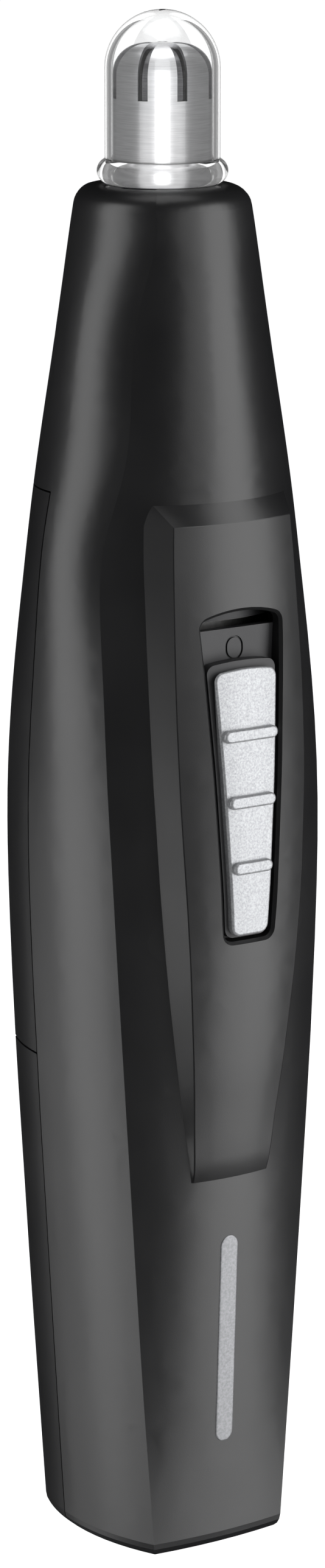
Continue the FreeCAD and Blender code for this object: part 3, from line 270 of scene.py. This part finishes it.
def clear():
    m = Mat("clear_plastic")
    n = m.noise(120.0, 2.0)
    m.colour(n, "Fac", (0.985, 0.99, 0.992), (1.0, 1.0, 1.0))
    m.rough(n, "Fac", 0.0, 0.02)
    m.set(IOR=1.46, Transmission_Weight=1.0)
    return m.m


MATS["silver_plastic"] = silver()
MATS["clear_plastic"] = clear()
MATS["battery_wrap"] = cell_wrap()


def paint(ob, mat):
    me = ob.data
    if len(me.materials) == 0:
        me.materials.append(mat)
    for i in range(len(ob.material_slots)):
        ob.material_slots[i].link = "OBJECT"
        ob.material_slots[i].material = mat


record = frame["record"]
for s in record["subparts"]:
    ob = frame["nodes"][s["node"]]
    # the inner blade gets the darker steel copy, painted shade for its place inside the tube
    paint(ob, MATS["shaded_blade_steel" if s["node"] == "inner_blade" else s["material_slot"]])

# the metal head and its clear cap have their own soft boxes
HEAD = ("outer_cutter", "cutter_collar", "inner_blade", "blade_hub", "head_base", "protective_cap")


def link_lights():
    lit = bpy.data.collections.new("metal_lit")
    rest = bpy.data.collections.new("body_lit")
    for c in (lit, rest):
        scene.collection.children.link(c)
    for ob in list(scene.objects):
        if ob.type != "MESH":
            continue
        (lit if ob.name in [frame["nodes"][n].name for n in HEAD] else rest).objects.link(ob)
    for ob in SIDE:
        ob.light_linking.receiver_collection = rest
    for ob in METAL:
        ob.light_linking.receiver_collection = lit


# ------------------------------------------------------------------ accent on the lower front
from mathutils.bvhtree import BVHTree

_hull = frame["nodes"]["front_housing"]
_bm = bmesh.new()
_bm.from_mesh(_hull.data)
TREE = BVHTree.FromBMesh(_bm)
_bm.free()


def skin_y(x, z):
    hit = TREE.ray_cast(Vector((x, -0.03, z)), Vector((0, 1, 0)))
    return hit[0].y if hit[0] is not None else -0.011


def stripe(name, top, low, half, proud, mat):
    """One plain pill-shaped stripe that lies on the housing's front skin."""
    me = bpy.data.meshes.new(name)
    bm = bmesh.new()
    nx = 12
    zs, k = [], 10
    for i in range(k + 1):
        zs.append(low + half * (1 - math.cos(math.pi / 2 * i / k)))
    n = max(4, int((top - low - 2 * half) / 0.6))
    for i in range(1, n):
        zs.append(low + half + (top - low - 2 * half) * i / n)
    for i in range(k + 1):
        zs.append(top - half * (1 - math.cos(math.pi / 2 * (k - i) / k)))
    rows = []
    for z in zs:
        near = min(z - low, top - z)
        h = half if near >= half else math.sqrt(max(half ** 2 - (half - near) ** 2, 0.0009))
        row = []
        for i in range(nx + 1):
            x = h * math.sin(math.pi / 2 * (i / nx * 2 - 1))
            rim = min(h - abs(x), near)
            e = min(1.0, max(0.0, rim / 0.12))
            lift = -0.03 + (proud + 0.03) * math.sqrt(1 - (1 - e) ** 2)
            row.append(bm.verts.new((x * MM, (skin_y(x * MM, z * MM) / MM - lift) * MM, z * MM)))
        rows.append(row)
    for p, q in zip(rows, rows[1:]):
        for i in range(nx):
            bm.faces.new((p[i], p[i + 1], q[i + 1], q[i]))
    bm.to_mesh(me)
    bm.free()
    for f in me.polygons:
        f.use_smooth = True
    ob = bpy.data.objects.new(name, me)
    scene.collection.objects.link(ob)
    me.materials.append(mat)
    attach(ob, "root")
    return ob


def print_mat(name, lo, hi, metal, r0, r1):
    m = Mat(name)
    n = m.noise(4200.0, 2.0, 0.6)
    m.colour(n, "Fac", lo, hi)
    m.rough(n, "Fac", r0, r1)
    m.bump(n, "Fac", 0.08, 0.00002)
    m.set(Metallic=metal)
    return m.m


d1 = stripe("front_stripe", 31.5, 10.6, 1.05, 0.06,
            print_mat("stripe_silver", (0.17, 0.172, 0.18), (0.25, 0.253, 0.262), 0.6, 0.34, 0.44))


# ------------------------------------------------------------------ lips inside the parting line
SEAM = [(0.0, 3.61), (48.4, 2.42), (60.0, 2.34), (70.0, 2.12), (80.0, 1.60),
        (88.0, 0.98), (95.0, 0.55), (103.0, 0.38)]


def seam_y(z):
    for (za, ya), (zb, yb) in zip(SEAM, SEAM[1:]):
        if z <= zb:
            return ya + (yb - ya) * (z - za) / (zb - za)
    return SEAM[-1][1]


def seam_lips():
    """Thin inner lips that stand behind the gap on both flanks, and a rib
    in the gap across the base, so that no light shows through."""
    bm = bmesh.new()
    for n in ("front_housing", "rear_cover", "battery_cover"):
        bm.from_mesh(frame["nodes"][n].data)
    tree = BVHTree.FromBMesh(bm)
    bm.free()
    me = bpy.data.meshes.new("seam_lips")
    bm = bmesh.new()

    def wall(side, y, z):
        hit = tree.ray_cast(Vector((side * 0.0055, y * MM, z * MM)), Vector((side, 0, 0)))
        return None if hit[0] is None else hit[0].x / MM

    for side in (-1, 1):
        prev = None
        for i in range(100):
            z = 1.56 + i * 1.01
            c = seam_y(z)
            row = []
            for dy in (-1.1, -0.35, 0.35, 0.8):
                x = wall(side, c + dy, z)
                row.append(None if x is None or abs(x) < 6.5 else (x, c + dy))
            if None in row:
                prev = None
                continue
            xs = [r[0] for r in row]
            if max(xs) - min(xs) > 0.9:
                prev = None
                continue
            ring = []
            for depth in (0.02, 0.11):
                seq = row if depth < 0.05 else row[::-1]
                for x, y in seq:
                    ring.append(bm.verts.new(((x - side * depth) * MM, y * MM, z * MM)))
            if prev:
                k = len(ring)
                for j in range(k):
                    bm.faces.new((prev[j], prev[(j + 1) % k], ring[(j + 1) % k], ring[j]))
            else:
                bm.faces.new(ring)
            prev = ring
        if prev:
            bm.faces.new(prev[::-1])
    # rib across the base, inside the gap
    steps = 12
    prev = None
    for i in range(steps + 1):
        x = -7.2 + 14.4 * i / steps
        lo = 0.08 + 0.35 * abs(x / 7.2) ** 4
        ring = [bm.verts.new((x * MM, (seam_y(z) + dy) * MM, z * MM))
                for dy, z in ((-0.045, lo), (0.045, lo), (0.045, 1.45), (-0.045, 1.45))]
        if prev:
            for j in range(4):
                bm.faces.new((prev[j], prev[(j + 1) % 4], ring[(j + 1) % 4], ring[j]))
        else:
            bm.faces.new(ring)
        prev = ring
    bm.faces.new(prev[::-1])
    bmesh.ops.recalc_face_normals(bm, faces=bm.faces)
    bm.to_mesh(me)
    bm.free()
    ob = bpy.data.objects.new("seam_lips", me)
    scene.collection.objects.link(ob)
    me.materials.append(MATS["dark_insert_plastic"])
    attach(ob, "root")


seam_lips()


# ------------------------------------------------------------------ floor and backdrop
def stage_mat(name, strength, base):
    m = Mat(name)
    n = m.noise(30.0, 2.0)
    m.colour(n, "Fac", (base, base, base), (base * 1.02, base * 1.02, base * 1.02))
    m.set(Roughness=0.9, Emission_Color=(1, 1, 1, 1), Emission_Strength=strength)
    return m.m


def floor():
    me = bpy.data.meshes.new("floor")
    bm = bmesh.new()
    bmesh.ops.create_circle(bm, cap_ends=True, radius=4.0, segments=96)
    bm.to_mesh(me)
    bm.free()
    ob = bpy.data.objects.new("floor", me)
    scene.collection.objects.link(ob)
    ob.location.z = -0.00002
    me.materials.append(stage_mat("floor", 1.0, 0.5))
    ob.visible_glossy = False
    ob.visible_shadow = False
    me2 = bpy.data.meshes.new("backdrop")
    bm = bmesh.new()
    bmesh.ops.create_uvsphere(bm, u_segments=64, v_segments=32, radius=4.0)
    bm.to_mesh(me2)
    bm.free()
    o2 = bpy.data.objects.new("backdrop", me2)
    scene.collection.objects.link(o2)
    me2.materials.append(stage_mat("backdrop", 1.0, 0.0))
    o2.visible_glossy = False
    o2.visible_diffuse = False
    o2.visible_shadow = False




def flags():
    """Dark cards beside the object.  Only rays bent by the clear cap meet
    them, so that its walls show as soft grey lines."""
    me = bpy.data.meshes.new("flags")
    bm = bmesh.new()
    for side in (-1, 1):
        prev = None
        for i in range(25):
            p = math.radians(side * (50 + (160 - 50) * i / 24))
            d = (VB * math.cos(p) + VR * math.sin(p)) * 0.35
            pair = [bm.verts.new((d.x, d.y, z)) for z in (0.0, 0.7)]
            if prev:
                bm.faces.new((prev[0], pair[0], pair[1], prev[1]))
            prev = pair
    bm.to_mesh(me)
    bm.free()
    ob = bpy.data.objects.new("flags", me)
    scene.collection.objects.link(ob)
    me.materials.append(stage_mat("flags", 0.22, 0.02))
    ob.visible_camera = False
    ob.visible_glossy = False
    ob.visible_diffuse = False
    ob.visible_shadow = False


floor()
flags()
link_lights()

scene.view_settings.view_transform = "Standard"
